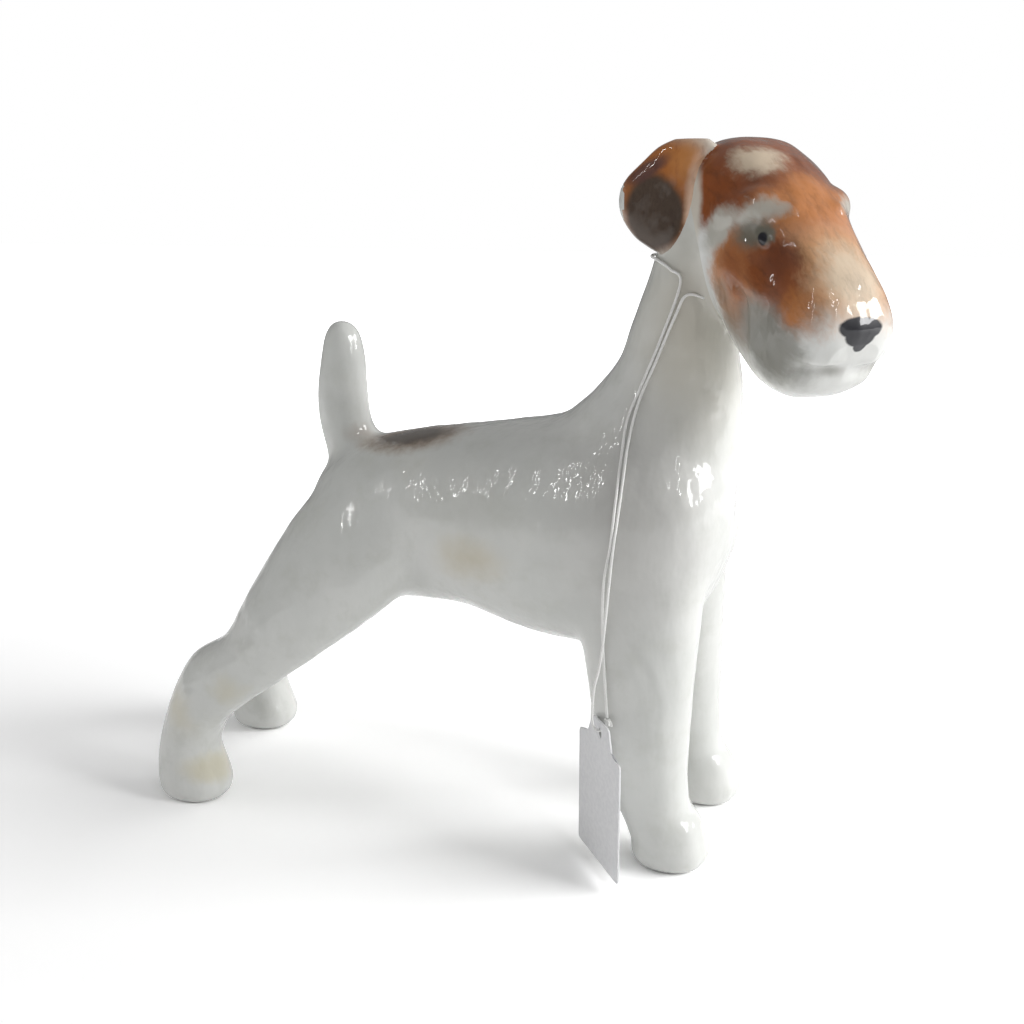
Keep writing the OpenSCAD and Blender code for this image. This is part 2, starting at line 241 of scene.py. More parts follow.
def even_path(points, spacing):
    """The same path with points that far apart along it."""
    lengths = run_along(points)
    wanted = np.linspace(0, lengths[-1], int(round(lengths[-1] / spacing)) + 1)
    path = np.stack([np.interp(wanted, lengths, points[:, i]) for i in range(3)], 1)
    return path, lengths[-1]


def thread(path, diameter, sides=14):
    """A tube of twisted plies along an evenly spaced path: its points and faces."""
    ahead = np.gradient(path, axis=0)
    ahead /= np.linalg.norm(ahead, axis=1, keepdims=True)
    side = np.cross(ahead[0], [0.3, 0.9, 0.2])
    turns = np.arange(sides) * TURN / sides
    points = []
    for at, forward, run in zip(path, ahead, run_along(path)):
        side = side - side.dot(forward) * forward
        side /= np.linalg.norm(side)
        up = np.cross(forward, side)
        twist = turns - TURN * run / TWIST_PITCH
        radius = diameter / 2 * (1 - PLY_DEPTH + PLY_DEPTH * np.abs(np.cos(PLIES / 2 * twist)))
        outward = np.cos(turns)[:, None] * side + np.sin(turns)[:, None] * up
        points.append(at + radius[:, None] * outward)
    return np.vstack(points), tube_faces(len(path), sides)


def cotton():
    """Soft white cotton thread."""
    n = new_material("cotton_string")
    fibre = n.noise(n.place(), 9000.0, 4.0, 0.6)
    tone = n.mix(n.ramp(fibre, 0.3, 0.7), (0.76, 0.76, 0.74), (0.92, 0.92, 0.90))
    n.shade(Base_Color=tone, Roughness=0.85, Sheen_Weight=0.35, Sheen_Roughness=0.5,
            Normal=n.bump(fibre, 0.00008, 0.7))
    return n.owner


COTTON = cotton()


def make_knot():
    """An overhand knot that both strands run into, with two short frayed ends."""
    t = np.linspace(0, TURN, 160)
    loop = np.stack([KNOT_SIZE * (np.sin(t) + 0.9 * np.sin(2 * t)) * KNOT_SQUEEZE,
                     KNOT_SIZE * (np.cos(t) - 0.9 * np.cos(2 * t)) * KNOT_SQUEEZE,
                     -0.8 * KNOT_SIZE * np.sin(3 * t)], 1)
    path, _ = even_path(loop + KNOT_AT + MIDDLE, 0.16)
    points, faces = thread(path, STRING_DIA * 0.95, 12)
    ends = (([0.2, -0.4, 0.3], [0.7, -1.1, 0.6], [0.9, -1.3, -0.6]),
            ([0.3, -0.2, 0.4], [1.1, -0.6, 0.3], [1.5, -0.8, -0.9]))
    for end in ends:
        tail, _ = even_path(smooth(np.array(end) + KNOT_AT + MIDDLE, 10), 0.2)
        more, more_faces = thread(tail, STRING_DIA * 0.9, 12)
        faces += [tuple(i + len(points) for i in face) for face in more_faces]
        points = np.vstack([points, more])
    return new_object("overhand_knot", points, faces, COTTON)


# ---- Ticket ----
HOLE_AT = np.array([44.7, -30.4, 42.5])
TICKET_TURN = math.radians(38)
TICKET_WIDTH = 28.0
TICKET_HEIGHT = 43.0
TICKET_TOP_WIDTH = 13.0
TICKET_TOP_HEIGHT = 6.5
TICKET_SCALLOP = 2.6
TICKET_CORNER = 1.2
TICKET_HOLE = 3.0
HOLE_INSET = 3.6
CARD = 0.6
CARD_EASE = 0.12
CARD_BOW = 0.35


def arc(centre, radius, start, end, count):
    angles = np.radians(np.linspace(start, end, count))
    return np.stack([centre[0] + radius * np.cos(angles), centre[1] + radius * np.sin(angles)], 1)


def ticket_outline():
    """The ticket's edge, with its hole at (0, 0)."""
    top = HOLE_INSET
    bottom = HOLE_INSET - TICKET_HEIGHT
    half, half_top = TICKET_WIDTH / 2, TICKET_TOP_WIDTH / 2
    shoulder = top - TICKET_TOP_HEIGHT
    r, c = TICKET_SCALLOP, TICKET_CORNER
    neck = half_top + 1.0
    right = np.vstack([
        arc((half - c, bottom + c), c, -90, 0, 6),
        arc((half - 1.6, shoulder - 2.2), 1.6, 0, 55, 5),
        arc((neck + 2.3, shoulder + 1.3), 2.0, 240, 180, 6),
        arc((half_top - r, top - r), r, 0, 90, 8)])
    return np.vstack([right, right[::-1] * [-1, 1]])


def card():
    """Smooth white card, a little fibrous."""
    n = new_material("ticket_card")
    place = n.place()
    pulp = n.noise(place, 700.0, 5.0, 0.6)
    fibres = n.noise(n.stretch(place, (1.0, 1.0, 0.25)), 5200.0, 3.0, 0.6)
    tone = n.mix(n.ramp(pulp, 0.35, 0.65), (0.72, 0.72, 0.735), (0.77, 0.77, 0.78))
    tone = n.mix(n.ramp(fibres, 0.55, 0.8, 0.0, 0.25), tone, (0.62, 0.62, 0.63))
    n.shade(Base_Color=tone, Roughness=0.62, Normal=n.bump(fibres, 0.00004, 0.5))
    return n.owner


def make_ticket():
    """A punched card with eased edges and a slight bow, as its own solid."""
    edge = ticket_outline()
    hole = arc((0, 0), TICKET_HOLE / 2, 0, 360, 41)[:-1]
    n, m = len(edge), len(hole)
    inward = edge - np.array([0, HOLE_INSET - TICKET_HEIGHT / 2])
    inward = inward / np.linalg.norm(inward, axis=1, keepdims=True) * CARD_EASE
    levels = ((-CARD / 2, 1), (-CARD / 2 + CARD_EASE, 0), (CARD / 2 - CARD_EASE, 0), (CARD / 2, 1))
    layers = [np.c_[edge - pull * inward, np.full(n, z)] for z, pull in levels]
    layers += [np.c_[hole * (1 + pull * CARD_EASE / TICKET_HOLE), np.full(m, z)]
               for z, pull in levels[::-1]]
    base = 4 * n
    faces = band_faces(0, 4, n) + band_faces(base, 4, m)
    # Both faces of the card are bridged from the outline to the hole by angle
    faces += bridge(edge, hole, 3 * n, base, True)
    faces += bridge(edge, hole, 0, base + 3 * m, False)
    flat = np.vstack(layers)
    flat[:, 2] += CARD_BOW * np.sin((flat[:, 1] - HOLE_INSET) / TICKET_HEIGHT * math.pi)
    turn = Matrix.Rotation(TICKET_TURN, 3, "Z") @ Euler((math.pi / 2, 0, math.pi / 2)).to_matrix()
    points = flat @ np.array(turn).T + HOLE_AT + MIDDLE
    return new_object("card_ticket", points, faces, card(), shade_smooth=False)


def bridge(outer, inner, outer_start, inner_start, front):
    """Triangles between two loops round one centre, joined in order of angle."""
    a = np.unwrap(np.arctan2(outer[:, 1], outer[:, 0]))
    b = np.arctan2(inner[:, 1], inner[:, 0])
    first = int(np.argmin(np.abs((b - a[0] + math.pi) % TURN - math.pi)))
    b = np.unwrap(np.roll(b, -first))
    b = b - round((b[0] - a[0]) / TURN) * TURN
    a = np.r_[a, a[0] + TURN]
    b = np.r_[b, b[0] + TURN]
    faces = []
    i = j = 0
    n, m = len(outer), len(inner)
    while i < n or j < m:
        o, p = outer_start + i % n, inner_start + (j + first) % m
        if j == m or (i < n and a[i + 1] <= b[j + 1]):
            face = (o, outer_start + (i + 1) % n, p)
            i += 1
        else:
            face = (o, inner_start + (j + 1 + first) % m, p)
            j += 1
        faces.append(face if front else face[::-1])
    return faces


string_path, string_length = even_path(smooth(ROUTE, 24) + MIDDLE, STRING_STEP)
string = new_object("neck_string", *thread(string_path, STRING_DIA), COTTON)
knot = make_knot()
ticket = make_ticket()
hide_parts("ticket_string")
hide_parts("string_knot")
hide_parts("swing_ticket")
for piece in (string, knot):
    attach(piece, "figurine")
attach(ticket, "ticket")

# ---- Stations of the castings ----
STANCE = 160.0
PAW_HEIGHT = 18.0
PAW_WIDTH = 20.5
TRUNK_LENGTH = 132.0
BACK_HEIGHT = 122.0
CHEST_DEPTH = 66.0
CHEST_WIDTH = 60.0
TAIL_RISE = 29.3
TAIL_DEPTH = 16.0
TAIL_WIDTH = 15.5
HEAD_LENGTH = 73.5
SKULL_WIDTH = 34.0
MUZZLE_DEPTH = 35.0
SKULL_BACK = 16.0
NECK_WIDTH = 31.0
EAR_DROP = 28.3
EAR_WIDTH = 22.0
EAR_THICKNESS = 6.0
EAR_OUT = 14.5
EAR_TOP = 17.2
LEFT_EAR_DROP = 3.5
EAR_SPLAY = math.radians(130)
HEAD_TURN = math.radians(48)
HEAD_DIP = math.radians(31)

FORE_X = 66.0
HIND_X = FORE_X - STANCE
BREAST_X = FORE_X + 9
BUTTOCK_X = BREAST_X - TRUNK_LENGTH
TAIL_X = BUTTOCK_X + 15
SKULL_AT = np.array([FORE_X + 8.5, -1.0, BACK_HEIGHT + 62])
NECK_FOOT = BACK_HEIGHT - 26
NECK_TOP = SKULL_AT[2] + 7
TAIL_FOOT = BACK_HEIGHT - 24
TAIL_TIP = BACK_HEIGHT + TAIL_RISE
TAIL_SEAM = BACK_HEIGHT - 7.5
TAIL_TILT = math.radians(21)
TAIL_BOUND = -25

# Share of length, top above the loin, belly as a share of depth, half width as a share
TRUNK = [
    [0, -26, -0.52, 0.14], [0.03, -19, -0.64, 0.41], [0.08, -11, -0.76, 0.67],
    [0.17, -5.8, -0.82, 0.82], [0.29, -2.4, -0.823, 0.84], [0.41, -0.2, -0.832, 0.86],
    [0.54, 2.5, -0.905, 0.92], [0.66, 5, -0.94, 0.98], [0.78, 7, -0.92, 1],
    [0.89, 5, -0.84, 0.93], [0.96, -1, -0.67, 0.72], [1, -11, -0.46, 0.34]]
# Share of height, back and front from the fore paws, half width as a share
NECK = [
    [0, -34, 7, 1.3], [0.14, -42, 9, 1.42], [0.25, -43.5, 9.5, 1.35],
    [0.34, -38.5, 9.5, 1.2], [0.42, -30.8, 9, 1.08], [0.51, -24.6, 7.5, 1.02],
    [0.62, -21, 6, 0.97], [0.72, -17.6, 5, 0.94], [0.84, -13.9, 5, 0.88],
    [0.92, -10.2, 5, 0.8], [0.97, -6, 4, 0.62], [1, -1, 3, 0.25]]
# Share of the paw's height, back, front and half width as shares
PAW = [[0, -0.36, 0.31, 0.34], [0.06, -0.44, 0.385, 0.43], [0.16, -0.485, 0.44, 0.48],
       [0.28, -0.5, 0.46, 0.495], [0.42, -0.51, 0.445, 0.5]]
# Share of height, back and front as shares of the leg's depth, half width, inset
FORELEG = [
    [-0.05, -0.6, 0.22, 10, 0], [0, -0.68, 0.09, 10, 0], [0.09, -0.79, 0.06, 10, 0.1],
    [0.19, -0.87, 0.055, 10.2, 0.2], [0.35, -0.98, 0.075, 11, 0.8], [0.51, -1.07, 0.1, 11.8, 2],
    [0.67, -1.12, 0.13, 12.5, 4.2], [0.84, -1.15, 0.17, 12.5, 6.8], [1, -1.15, 0.18, 11, 10]]
# Share of height, back and front from the hind paw, half width, inset
HINDLEG = [
    [-0.05, -8.2, 13, 10, 0], [0, -7.2, 11.6, 9.6, 0], [0.09, -5.2, 15.2, 9.6, 0.5],
    [0.16, -3.1, 22, 10, 1], [0.24, -0.3, 32, 10.2, 1.8], [0.31, 3.2, 40, 10.6, 2.7],
    [0.35, 6.6, 45.2, 10.8, 3.2], [0.4, 14.6, 51, 11.2, 3.9], [0.44, 18.2, 56, 11.6, 4.5],
    [0.54, 22.4, 67.4, 12.6, 6.5], [0.64, 27.6, 76.4, 13.2, 8.3], [0.76, 33.7, 81.6, 13, 10.8],
    [0.88, 41, 82, 12, 14.3], [1, 52, 76, 9, 17.7]]
# Share of length, low side as a share of the muzzle, high side, half width as a share
HEAD = [
    [0, -0.06, 8, 0.24], [0.05, -0.2, 13.2, 0.38], [0.15, -0.34, 17.1, 0.47],
    [0.3, -0.47, 18.2, 0.5], [0.45, -0.62, 17.5, 0.485], [0.56, -0.735, 15.7, 0.455],
    [0.67, -0.775, 13.2, 0.43], [0.78, -0.765, 11, 0.43], [0.88, -0.69, 8.6, 0.41],
    [0.96, -0.535, 4.8, 0.35], [1, -0.31, -1, 0.2]]
# Share of the drop, inner and outer edge and half thickness as shares
EAR = [
    [0, 0.3, 0.5, 0.22], [0.04, 0.18, 0.6, 0.36], [0.14, 0.07, 0.77, 0.46],
    [0.32, 0.03, 0.93, 0.5], [0.5, 0.02, 0.965, 0.5], [0.66, 0, 0.87, 0.5],
    [0.82, -0.06, 0.665, 0.46], [0.94, -0.16, 0.49, 0.4], [1, -0.08, 0.31, 0.24]]
# Share of height, lean, depth and width as shares
TAIL = [
    [0, 2, 1.1, 0.5], [0.18, 0, 1.06, 0.53], [0.33, -2.4, 1.03, 0.53],
    [0.46, -4.1, 1, 0.5], [0.6, -4.5, 0.97, 0.47], [0.75, -4, 0.88, 0.44],
    [0.9, -3.8, 0.72, 0.36], [0.97, -3.9, 0.48, 0.25], [1, -4.1, 0.22, 0.12]]

# A pair of legs stands at x, its feet track apart and leaning over to the left, its left foot
# ahead of its right one. Its paws stand paw from x; the legs end drop below the back, and are
# cut from the trunk at the seam and where x passes the bound
FORE = SimpleNamespace(x=FORE_X, track=43.0, lean=2.9, ahead=2.4, paw=-2.4, paw_length=23.5, rows=FORELEG,
                       depth=28.0, drop=12, fillet=3.0, seam=55.0, way=-1, bound=0)
HIND = SimpleNamespace(x=HIND_X, track=55.5, lean=1.1, ahead=-7.0, paw=4.2, paw_length=24.5, rows=HINDLEG,
                       depth=1.0, drop=14, fillet=4.5, seam=60.0, way=1, bound=-10)
NECK_FILLET = 12.0
TAIL_FILLET = 3.0
HEAD_FILLET = 5.0
EAR_FILLET = 1.8
EVEN_PASSES = 10
EVEN_PITCH = 0.85
EVEN_ABOVE = (3, 14)

LOFT_SIDES = 96
LOFT_STEPS = 8


def rounded(a, b, squareness):
    """A rounded-square outline with half sizes a and b, for each row."""
    angle = np.arange(LOFT_SIDES) * TURN / LOFT_SIDES
    x, y = (np.sign(v) * np.abs(v) ** (2 / squareness) for v in (np.cos(angle), np.sin(angle)))
    return a[:, None] * x, b[:, None] * y


def standing(rows, squareness=2.2):
    """Rings of a standing form from rows of [z, back x, front x, half width, middle y]."""
    z, back, front, half, middle = smooth(rows, LOFT_STEPS).T
    x, y = rounded((front - back) / 2, half, squareness)
    return np.stack([x + ((back + front) / 2)[:, None], y + middle[:, None],
                     np.repeat(z[:, None], LOFT_SIDES, 1)], -1)


def lying(rows, squareness=2.2):
    """Rings of a lying form from rows of [x, low z, high z, half width]."""
    x, low, high, half = smooth(rows, LOFT_STEPS).T
    y, z = rounded(half, (high - low) / 2, squareness)
    return np.stack([np.repeat(x[:, None], LOFT_SIDES, 1), y, z + ((low + high) / 2)[:, None]], -1)


def moved(rings, matrix, offset):
    return rings @ np.array(matrix).T + offset


def trunk_form():
    return lying([[BUTTOCK_X + s * TRUNK_LENGTH, BACK_HEIGHT + low * CHEST_DEPTH,
                   BACK_HEIGHT + high, half * CHEST_WIDTH / 2] for s, high, low, half in TRUNK])


def neck_form():
    return standing([[NECK_FOOT + s * (NECK_TOP - NECK_FOOT), FORE_X + back, FORE_X + front,
                      half * NECK_WIDTH / 2, 0] for s, back, front, half in NECK])


def leg_form(pair, side):
    x = pair.x + (pair.ahead if side > 0 else 0)
    rise = BACK_HEIGHT - pair.drop - PAW_HEIGHT
    paw_x = x + pair.paw
    leg = [[s * PAW_HEIGHT, paw_x + back * pair.paw_length, paw_x + front * pair.paw_length,
            half * PAW_WIDTH, side * pair.track / 2 + pair.lean] for s, back, front, half in PAW]
    for s, back, front, half, inset in pair.rows:
        middle = x + s * (pair.x - x)
        leg.append([PAW_HEIGHT + s * rise, middle + back * pair.depth, middle + front * pair.depth,
                    half, side * (pair.track / 2 - inset) + (1 - s) * pair.lean])
    return standing(leg)


def tail_form():
    return standing([[TAIL_FOOT + s * (TAIL_TIP - TAIL_FOOT), TAIL_X + lean - depth * TAIL_DEPTH / 2,
                      TAIL_X + lean + depth * TAIL_DEPTH / 2, width * TAIL_WIDTH, 0]
                     for s, lean, depth, width in TAIL])


# Turns head space, with x along the nose, y to the left and z up, into the frame's
HEAD_MATRIX = Euler((0, HEAD_DIP, -HEAD_TURN)).to_matrix()


def head_form():
    rings = lying([[s * HEAD_LENGTH - SKULL_BACK, low * MUZZLE_DEPTH, high, half * SKULL_WIDTH]
                   for s, low, high, half in HEAD], 2.6)
    return moved(rings, HEAD_MATRIX, SKULL_AT)


def ear_form(side):
    rings = standing([[EAR_TOP - EAR_DROP + s * EAR_DROP, inner * EAR_WIDTH, outer * EAR_WIDTH,
                       half * EAR_THICKNESS, 0] for s, inner, outer, half in EAR], 2.4)
    rings = moved(rings, Matrix.Rotation(EAR_SPLAY, 3, "Z"),
                  [-1, EAR_OUT, -LEFT_EAR_DROP if side > 0 else 0])
    mirror = np.diag([1, side, 1])
    return moved(rings, np.array(Matrix.Rotation(-HEAD_TURN, 3, "Z")) @ mirror, SKULL_AT)


# ---- Fields ----
# Each form becomes a field of signed distances on a grid, the fields are joined with
# soft fillets as slip smooths a luted joint, and the surface is read off again
class Grid:
    """A box of points, pitch apart, that fields are sampled on."""

    def __init__(self, low, high, pitch):
        self.low = np.array(low, float)
        self.pitch = pitch
        self.shape = tuple(int(math.ceil(v)) for v in (np.array(high) - self.low) / pitch)

    def field(self, rings, band):
        """Signed distance from a closed form, kept within the band."""
        rows, sides, _ = rings.shape
        points = np.vstack([rings.reshape(-1, 3), rings[0].mean(0), rings[-1].mean(0)]) + MIDDLE - self.low
        a, d, c, b = np.array(band_faces(0, rows, sides)).T
        j = np.arange(sides)
        k = (j + 1) % sides
        last = (rows - 1) * sides
        corners = ((a, b, c), (a, c, d), (j, k, np.full(sides, rows * sides)),
                   (last + k, last + j, np.full(sides, rows * sides + 1)))
        triangles = np.vstack([np.stack(three, 1) for three in corners])
        level = vdb.FloatGrid.createLevelSetFromPolygons(
            points.astype(np.float32), triangles=triangles.astype(np.uint32),
            transform=vdb.createLinearTransform(voxelSize=self.pitch), halfWidth=band / self.pitch)
        values = np.empty(self.shape, np.float32)
        level.copyToArray(values, ijk=(0, 0, 0))
        return values

    def axes(self):
        return np.meshgrid(*[(self.low[i] + np.arange(self.shape[i]) * self.pitch).astype(np.float32)
                             for i in range(3)], indexing="ij")

    def sample(self, values, points):
        """The field's values at those points, by linear interpolation."""
        at = np.clip((points - self.low) / self.pitch, 0, np.array(self.shape) - 1.001)
        cell = at.astype(int)
        above = (at - cell).T
        share = (1 - above, above)
        x, y, z = cell.T
        total = 0
        for i, j, k in np.ndindex(2, 2, 2):
            weight = share[i][0] * share[j][1] * share[k][2]
            total = total + weight * values[x + i, y + j, z + k]
        return total

    def slope(self, values, points):
        """The field's gradient at those points."""
        return slope(lambda p: self.sample(values, p), points, self.pitch)

    def surface(self, values):
        level = vdb.FloatGrid()
        level.background = float(values.max())
        level.copyFromArray(values)
        level.transform = vdb.createLinearTransform(voxelSize=self.pitch)
        points, quads = level.convertToQuads(isovalue=0.0)
        return points + self.low, quads.astype(int)


def fillet(a, b, reach, pitch):
    """The union of two fields with a soft fillet, but little of it where they run side by side."""
    along = 0
    for i in range(3):
        along = along + np.gradient(a, pitch, axis=i) * np.gradient(b, pitch, axis=i)
    soft = reach * np.clip((1 - along) / 0.8, 0.04, 1)
    h = np.clip(0.5 + 0.5 * (b - a) / soft, 0, 1)
    return b + h * (a - b) - soft * h * (1 - h)


def blurred(field, passes):
    """The field evened out; each pass spreads it by about 0.7 of a cell."""
    for _ in range(passes):
        for axis in range(3):
            field = np.moveaxis(field, axis, 0)
            inner = (field[:-2] + 2 * field[1:-1] + field[2:]) / 4
            field = np.concatenate([field[:1], inner, field[-1:]])
            field = np.moveaxis(field, 0, axis)
    return field


def joined(grid, band, with_head):
    """Every casting on that grid, joined, and the separate fields of the head and ears."""
    def added(whole, form, reach):
        return fillet(whole, grid.field(form, band), reach, grid.pitch)

    whole = added(grid.field(trunk_form(), band), neck_form(), NECK_FILLET)
    for side in (RIGHT, LEFT):
        whole = added(whole, leg_form(FORE, side), FORE.fillet)
        whole = added(whole, leg_form(HIND, side), HIND.fillet)
    whole = added(whole, tail_form(), TAIL_FILLET)
    if not with_head:
        # All but the soles is evened out, by as much on either pitch
        even = blurred(whole, int(round(EVEN_PASSES * (EVEN_PITCH / grid.pitch) ** 2)))
        rise = step(grid.axes()[2], *EVEN_ABOVE)
        whole = whole + rise * (even - whole)
    head = grid.field(head_form(), band)
    ears = [grid.field(ear_form(side), band) for side in (RIGHT, LEFT)]
    if with_head:
        head = sculpt_head(grid, head)
    whole = fillet(whole, head, HEAD_FILLET, grid.pitch)
    for ear in ears:
        whole = fillet(whole, ear, EAR_FILLET, grid.pitch)
    return whole, head, ears


# ---- Carving of the head ----
def ball(place, at, size):
    """An ellipsoid's field, close to true distance near its surface."""
    d = [(p - c) for p, c in zip(place, at)]
    near = np.sqrt(sum((v / r) ** 2 for v, r in zip(d, size)))
    far = np.sqrt(sum((v / (r * r)) ** 2 for v, r in zip(d, size)))
    return near * (near - 1) / np.maximum(far, 1e-6)


def rod(place, a, b, radius_a, radius_b):
    """A tapered rod's field from a to b."""
    a, b = np.array(a, float), np.array(b, float)
    run = b - a
    t = sum((p - c) * r for p, c, r in zip(place, a, run)) / run.dot(run)
    t = np.clip(t, 0, 1)
    d = np.sqrt(sum((p - c - t * r) ** 2 for p, c, r in zip(place, a, run)))
    return d - (radius_a + t * (radius_b - radius_a))


def raised(field, shape, soft):
    h = np.clip(0.5 + 0.5 * (shape - field) / soft, 0, 1)
    return shape + h * (field - shape) - soft * h * (1 - h)


def sunk(field, shape, soft):
    return -raised(-field, shape, soft)


# What is raised or sunk, with soft edges, in head space and on both sides of the head alike
CARVING = [
    # Bushy brows over sunken eyes
    (raised, rod, (10, -14.4, 5), (17.5, -11.4, 11.4), 1.8, 2.3, 4),
    (raised, rod, (17.5, -11.4, 11.4), (23.5, -6.6, 13.6), 2.3, 1, 4),
    (sunk, ball, (26, -16.3, 6.6), (6, 3.4, 3.6), 3),
    (raised, ball, (25.6, -12, 7.2), (2.9, 1.7, 2), 0.8),
    # The cheek, and the hollows before it and down behind the mouth
    (raised, rod, (21, -12.2, -4), (34, -11.3, -2), 4, 4, 5),
    (sunk, rod, (32, -16.4, 6), (44, -15.4, 4), 1.2, 1, 3),
    (sunk, rod, (30, -15.6, -7), (37, -14.6, -20), 0.7, 0.6, 3),
    # Nose pad, split lip, mouth and chin
    (raised, ball, (53.6, 0, 0.8), (3.7, 5.8, 3.4), 1.5),
    (sunk, rod, (58.6, 0, -4), (58.6, 0, -7.5), 0.3, 0.5, 1),
    (sunk, rod, (59, -1, -9.8), (55.4, -10.6, -10.8), 1.6, 1.6, 3.5),
    (raised, ball, (51.4, 0, -15.2), (4, 7, 3.8), 2.4),
]


def sculpt_head(grid, head):
    at = np.stack(grid.axes(), -1) - (SKULL_AT + MIDDLE).astype(np.float32)
    x, y, z = np.moveaxis(at @ np.array(HEAD_MATRIX, np.float32), -1, 0)
    for way, form, *sizes, soft in CARVING:
        head = way(head, form((x, -np.abs(y), z), *sizes), soft)
    return head


# ---- Surface relief ----
def waves(points, lengths, count, seed):
    """Smooth random relief, about -1 to 1, from waves of roughly those lengths along each axis."""
    draw = np.random.default_rng(seed)
    total = np.zeros(len(points))
    for _ in range(count):
        way = draw.normal(size=3)
        way /= np.linalg.norm(way)
        pace = TURN * way * draw.uniform(0.6, 1.4) / np.array(lengths)
        total += np.sin(points @ pace + draw.uniform(0, TURN))
    return total / math.sqrt(count / 2) / 2


COAT_RELIEF = 0.07
DENT_RELIEF = 0.09
TOE_GROOVE = 0.24
TOE_OFFSET = 3.4
TOE_REACH = 1.7


def relief(points):
    """How far the brushed and fettled clay stands above the plain form, in millimetres."""
    drift = np.stack([waves(points, (30, 30, 30), 8, seed) for seed in (1, 2, 3)], 1) * 3
    wandering = points + drift
    coat = waves(wandering, (5.5, 9, 15), 26, 4)
    dents = waves(wandering, (16, 16, 16), 20, 5)
    body = step(points[:, 2], 25, 70)
    return COAT_RELIEF * coat * (0.35 + 0.65 * body) + DENT_RELIEF * dents


def toes(points):
    """Shallow grooves between the toes, on the front of each paw."""
    depth = np.zeros(len(points))
    for pair in (FORE, HIND):
        for side in (RIGHT, LEFT):
            x = points[:, 0] - (pair.x + pair.paw + pair.ahead * (side > 0) + MIDDLE[0])
            y = points[:, 1] - (side * pair.track / 2 + pair.lean + MIDDLE[1])
            front = step(x, 2.0, 9.0) * (1 - step(points[:, 2], 9, 15)) * step(points[:, 2], 0.5, 3)
            near = np.abs(y) < PAW_WIDTH / 2 + 2
            for at in (-TOE_OFFSET, TOE_OFFSET):
                spread = at * (1 + 0.03 * x)
                depth += near * front * np.exp(-((y - spread) / TOE_REACH) ** 2)
    return -TOE_GROOVE * depth


# ---- Cutting the whole into its castings ----
class Shell:
    """A surface's points and quads; one whose last two points are the same is a triangle."""

    def __init__(self, points, quads):
        self.points = points
        self.quads = quads

    def parted(self, value):
        """The parts of the shell where value is below and above 0, cut along the line between."""
        v = value(self.points)
        v = np.where(np.abs(v) < 1e-6, 1e-6, v)
        low = v[self.quads] < 0
        inside, outside = low.all(1), ~low.any(1)
        mixed = self.quads[~(inside | outside)]
        triangles = np.vstack([mixed[:, [0, 1, 2]], mixed[:, [0, 2, 3]]])
        triangles = triangles[(triangles != np.roll(triangles, 1, 1)).all(1)]
        below = v[triangles] < 0
        whole_in, whole_out = below.all(1), ~below.any(1)
        cut = ~(whole_in | whole_out)
        crossing, below = triangles[cut], below[cut]
        # Each crossing triangle is turned so that its lone corner comes first
        lone_low = below.sum(1) == 1
        lone = np.where(lone_low, below.argmax(1), (~below).argmax(1))
        rows = np.arange(len(crossing))
        a, b, c = (crossing[rows, (lone + i) % 3] for i in range(3))
        unique, back = self.numbered(np.vstack([np.stack([a, b], 1), np.stack([a, c], 1)]))
        t = v[unique[:, 0]] / (v[unique[:, 0]] - v[unique[:, 1]])
        fresh = self.points[unique[:, 0]] * (1 - t)[:, None] + self.points[unique[:, 1]] * t[:, None]
        ab, ac = back[:len(a)], back[len(a):]
        points = np.vstack([self.points, fresh])
        tip = np.stack([a, ab, ac, ac], 1)
        rest = np.stack([ab, b, c, ac], 1)
        halves = []
        for quads, whole, first in ((inside, whole_in, lone_low), (outside, whole_out, ~lone_low)):
            three = triangles[whole]
            faces = np.vstack([self.quads[quads], np.c_[three, three[:, 2]], tip[first], rest[~first]])
            halves.append(Shell(points, faces).trimmed())
        return halves

    def numbered(self, edges):
        """The different edges among those, and the number that a new point on each of them gets."""
        unique, back = np.unique(np.sort(edges, 1), axis=0, return_inverse=True)
        return unique, back.ravel() + len(self.points)

    def trimmed(self):
        used, back = np.unique(self.quads, return_inverse=True)
        return Shell(self.points[used], back.reshape(self.quads.shape))

    def rim(self):
        """Each open edge once, as pairs of points in the order that their faces run."""
        sides = np.vstack([self.quads[:, [i, (i + 1) % 4]] for i in range(4)])
        sides = sides[sides[:, 0] != sides[:, 1]]
        known = {(a, b) for a, b in sides.tolist()}
        return [(a, b) for a, b in sides.tolist() if (b, a) not in known]

    def refined(self):
        """The shell with each quad parted into four and each triangle into four."""
        flat = self.quads[:, 2] == self.quads[:, 3]
        triangles, quads = self.quads[flat][:, :3], self.quads[~flat]
        edges = np.vstack([triangles[:, [i, (i + 1) % 3]] for i in range(3)]
                          + [quads[:, [i, (i + 1) % 4]] for i in range(4)])
        unique, back = self.numbered(edges)
        middles = self.points[unique].mean(1)
        centres = self.points[quads].mean(1)
        points = np.vstack([self.points, middles, centres])
        t = back[:3 * len(triangles)].reshape(3, -1)
        q = back[3 * len(triangles):].reshape(4, -1)
        centre = len(self.points) + len(middles) + np.arange(len(quads))
        faces = [(triangles[:, i], t[i], t[i - 1], t[i - 1]) for i in range(3)]
        faces.append((t[0], t[1], t[2], t[2]))
        faces += [(quads[:, i], q[i], centre, q[i - 1]) for i in range(4)]
        return Shell(points, np.vstack([np.stack(face, 1) for face in faces]))


